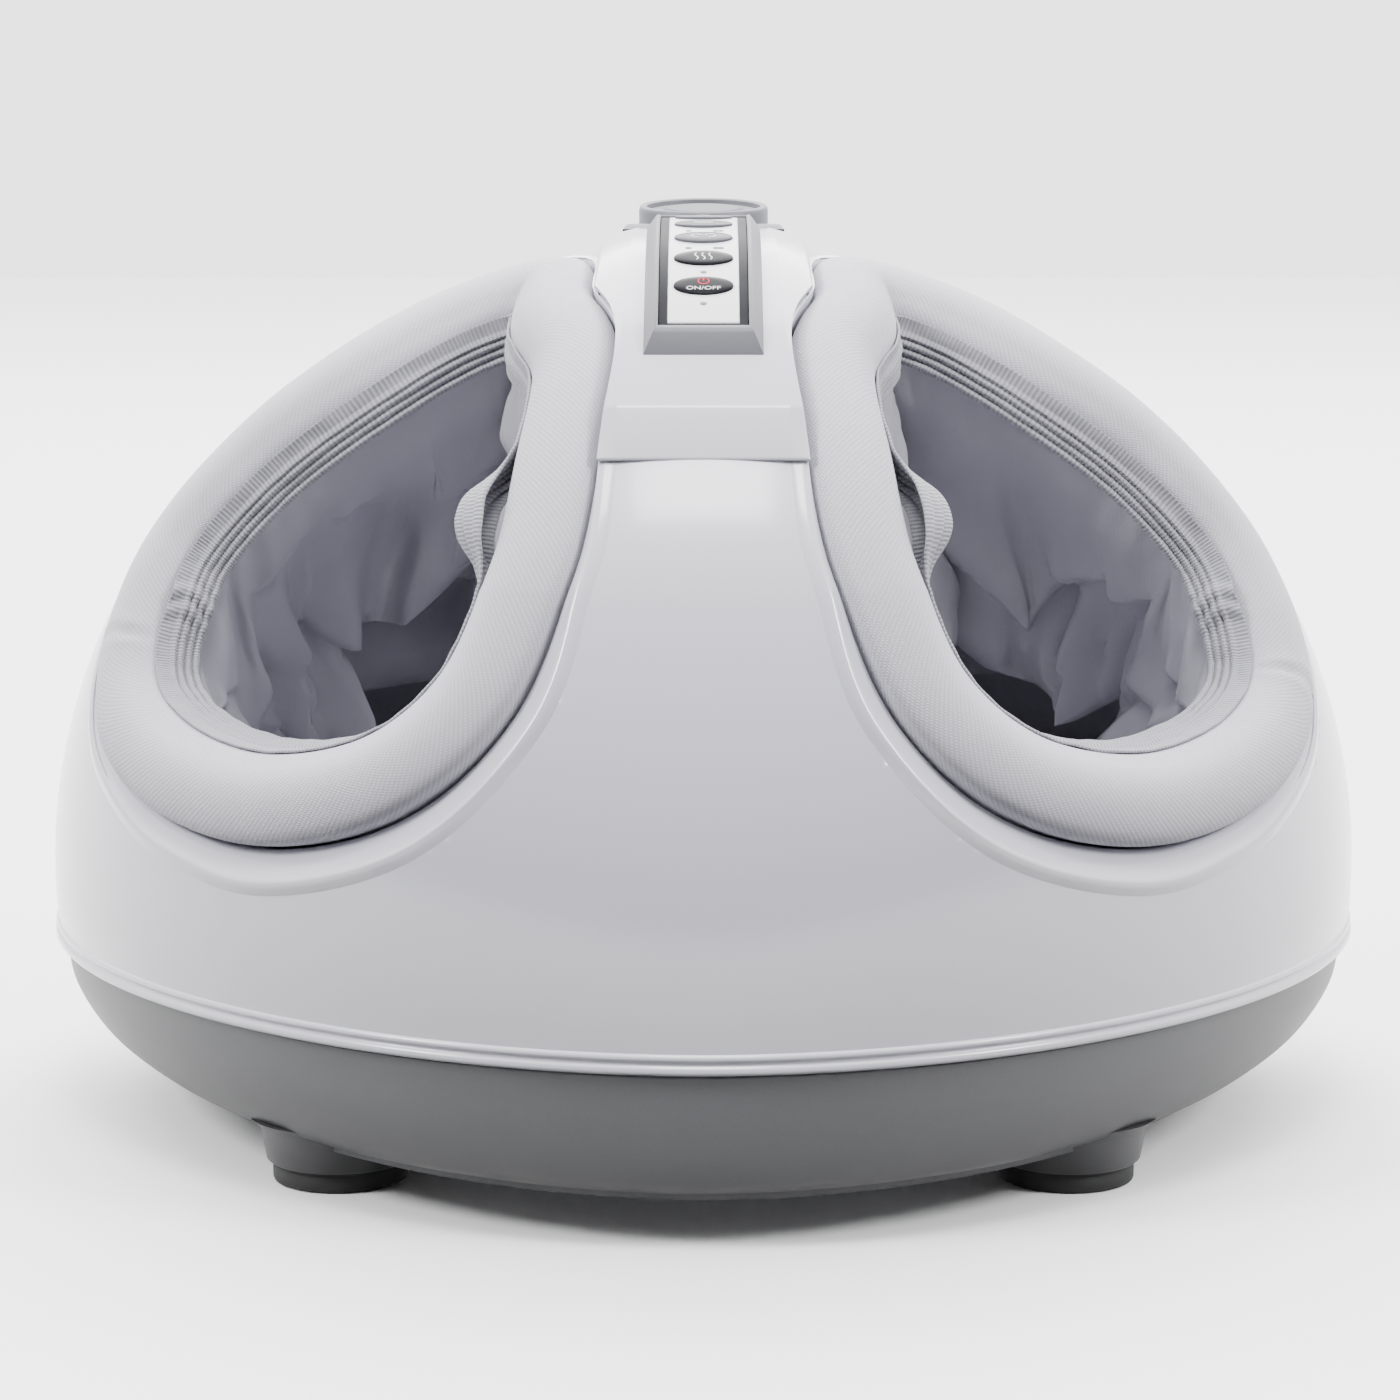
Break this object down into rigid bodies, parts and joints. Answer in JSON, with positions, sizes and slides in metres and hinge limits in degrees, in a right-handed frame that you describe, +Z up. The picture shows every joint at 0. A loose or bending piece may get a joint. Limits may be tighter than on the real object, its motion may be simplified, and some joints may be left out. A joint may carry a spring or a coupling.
{
  "type": "foot massager",
  "caption": "Domed shiatsu foot massager with two padded foot wells, geared kneading heads, side air bags and a console of push buttons.",
  "frame": {"origin": "middle of the footprint, on the floor that the rubber feet stand on", "axes": "+Z up, the front with the foot openings faces -Y, +X to the right as seen from the front"},
  "size_m": [0.4512, 0.3654, 0.3064],
  "materials": {
    "shell": "glossy moulded ABS, cool white",
    "tray": "satin moulded ABS, mid grey",
    "plate": "fine grained, dark grey",
    "foot_rubber": "matt black rubber",
    "ring_fabric": "light grey stretch cloth, fine weave",
    "band_fabric": "grey elastic cloth sewn in ribs",
    "liner_fabric": "grey satin lining cloth",
    "silver": "silver paint on moulded plastic",
    "inlay": "glossy black",
    "label": "pale printed foil",
    "button_dark": "glossy black",
    "button_grey": "glossy grey",
    "motor_steel": "zinc-plated motor can",
    "case_steel": "folded sheet case",
    "gear_plastic": "natural acetal",
    "inner_plastic": "unpainted moulded ABS",
    "board": "green circuit board",
    "bag_film": "welded film, dark grey"
  },
  "bodies": {
    "housing": {"upper_shell": "shell", "base_tray": "tray", "bottom_plate": "plate", "rubber_foot_front_left": "foot_rubber", "rubber_foot_front_right": "foot_rubber", "rubber_foot_rear_left": "foot_rubber", "rubber_foot_rear_right": "foot_rubber", "ring_frame_left": "inner_plastic", "ring_frame_right": "inner_plastic", "ring_cushion_left": "ring_fabric", "ring_cushion_right": "ring_fabric", "ribbed_band_left": "band_fabric", "ribbed_band_right": "band_fabric", "foot_liner_left": "liner_fabric", "foot_liner_right": "liner_fabric", "console_bezel": "silver", "console_inlay": "inlay", "console_label": "label", "control_board": "board", "crown_ring": "silver", "crown_disc": "silver", "back_trim": "silver", "power_inlet": "inlay", "gear_deck": "inner_plastic", "massage_plate_left": "inner_plastic", "massage_plate_right": "inner_plastic", "drive_motor": "motor_steel", "air_pump": "inner_plastic", "air_valve": "inner_plastic", "power_supply": "case_steel", "main_board": "board", "outer_air_bag_left": "bag_film", "outer_air_bag_right": "bag_film", "inner_air_bag_left": "bag_film", "inner_air_bag_right": "bag_film"},
    "worm": {"drive_worm": "gear_plastic"},
    "wheel_left": {"worm_wheel_left": "gear_plastic"},
    "wheel_right": {"worm_wheel_right": "gear_plastic"},
    "kneader_front_left": {"kneading_gear_front_left": "gear_plastic", "kneading_head_front_left": "inner_plastic"},
    "kneader_front_right": {"kneading_gear_front_right": "gear_plastic", "kneading_head_front_right": "inner_plastic"},
    "kneader_rear_left": {"kneading_gear_rear_left": "gear_plastic", "kneading_head_rear_left": "inner_plastic"},
    "kneader_rear_right": {"kneading_gear_rear_right": "gear_plastic", "kneading_head_rear_right": "inner_plastic"},
    "power_key": {"button_power": "button_dark"},
    "heat_key": {"button_heat": "button_grey"},
    "massage_key": {"button_massage": "button_grey"},
    "air_key": {"button_air": "button_grey"},
    "timer_key": {"button_timer": "button_grey"}
  },
  "joints": [
    {"name": "kneader_front_left_spin", "type": "hinge", "parent": "housing", "child": "kneader_front_left", "pos_m": [-0.113, -0.045, 0.03], "axis": [0, 0, 1], "continuous": true},
    {"name": "kneader_front_right_spin", "type": "hinge", "parent": "housing", "child": "kneader_front_right", "pos_m": [0.113, -0.045, 0.03], "axis": [0, 0, 1], "continuous": true},
    {"name": "kneader_rear_left_spin", "type": "hinge", "parent": "housing", "child": "kneader_rear_left", "pos_m": [-0.113, 0.045, 0.03], "axis": [0, 0, 1], "continuous": true},
    {"name": "kneader_rear_right_spin", "type": "hinge", "parent": "housing", "child": "kneader_rear_right", "pos_m": [0.113, 0.045, 0.03], "axis": [0, 0, 1], "continuous": true},
    {"name": "wheel_left_spin", "type": "hinge", "parent": "housing", "child": "wheel_left", "pos_m": [-0.043, -0.045, 0.046], "axis": [0, 0, 1], "continuous": true},
    {"name": "wheel_right_spin", "type": "hinge", "parent": "housing", "child": "wheel_right", "pos_m": [0.043, -0.045, 0.046], "axis": [0, 0, 1], "continuous": true},
    {"name": "worm_spin", "type": "hinge", "parent": "housing", "child": "worm", "pos_m": [0, -0.045, 0.046], "axis": [0, 1, 0], "continuous": true},
    {"name": "power_press", "type": "slide", "parent": "housing", "child": "power_key", "axis": [0, 0.4603, -0.8878], "range_m": [0, 0.0006], "stiffness_N_per_m": 400, "springref_m": -0.0005},
    {"name": "heat_press", "type": "slide", "parent": "housing", "child": "heat_key", "axis": [0, 0.3594, -0.9332], "range_m": [0, 0.0006], "stiffness_N_per_m": 400, "springref_m": -0.0005},
    {"name": "massage_press", "type": "slide", "parent": "housing", "child": "massage_key", "axis": [0, 0.2516, -0.9678], "range_m": [0, 0.0006], "stiffness_N_per_m": 400, "springref_m": -0.0005},
    {"name": "air_press", "type": "slide", "parent": "housing", "child": "air_key", "axis": [0, 0.1387, -0.9903], "range_m": [0, 0.0006], "stiffness_N_per_m": 400, "springref_m": -0.0005},
    {"name": "timer_press", "type": "slide", "parent": "housing", "child": "timer_key", "axis": [0, 0.0229, -0.9997], "range_m": [0, 0.0006], "stiffness_N_per_m": 400, "springref_m": -0.0005}
  ],
  "couplings": [
    {"joint": "kneader_rear_left_spin", "follows": "kneader_front_left_spin", "ratio": -1},
    {"joint": "kneader_front_right_spin", "follows": "kneader_front_left_spin", "ratio": -1},
    {"joint": "kneader_rear_right_spin", "follows": "kneader_front_left_spin", "ratio": 1},
    {"joint": "wheel_left_spin", "follows": "kneader_front_left_spin", "ratio": -1.8},
    {"joint": "wheel_right_spin", "follows": "kneader_front_left_spin", "ratio": 1.8},
    {"joint": "worm_spin", "follows": "kneader_front_left_spin", "ratio": 25.2}
  ]
}
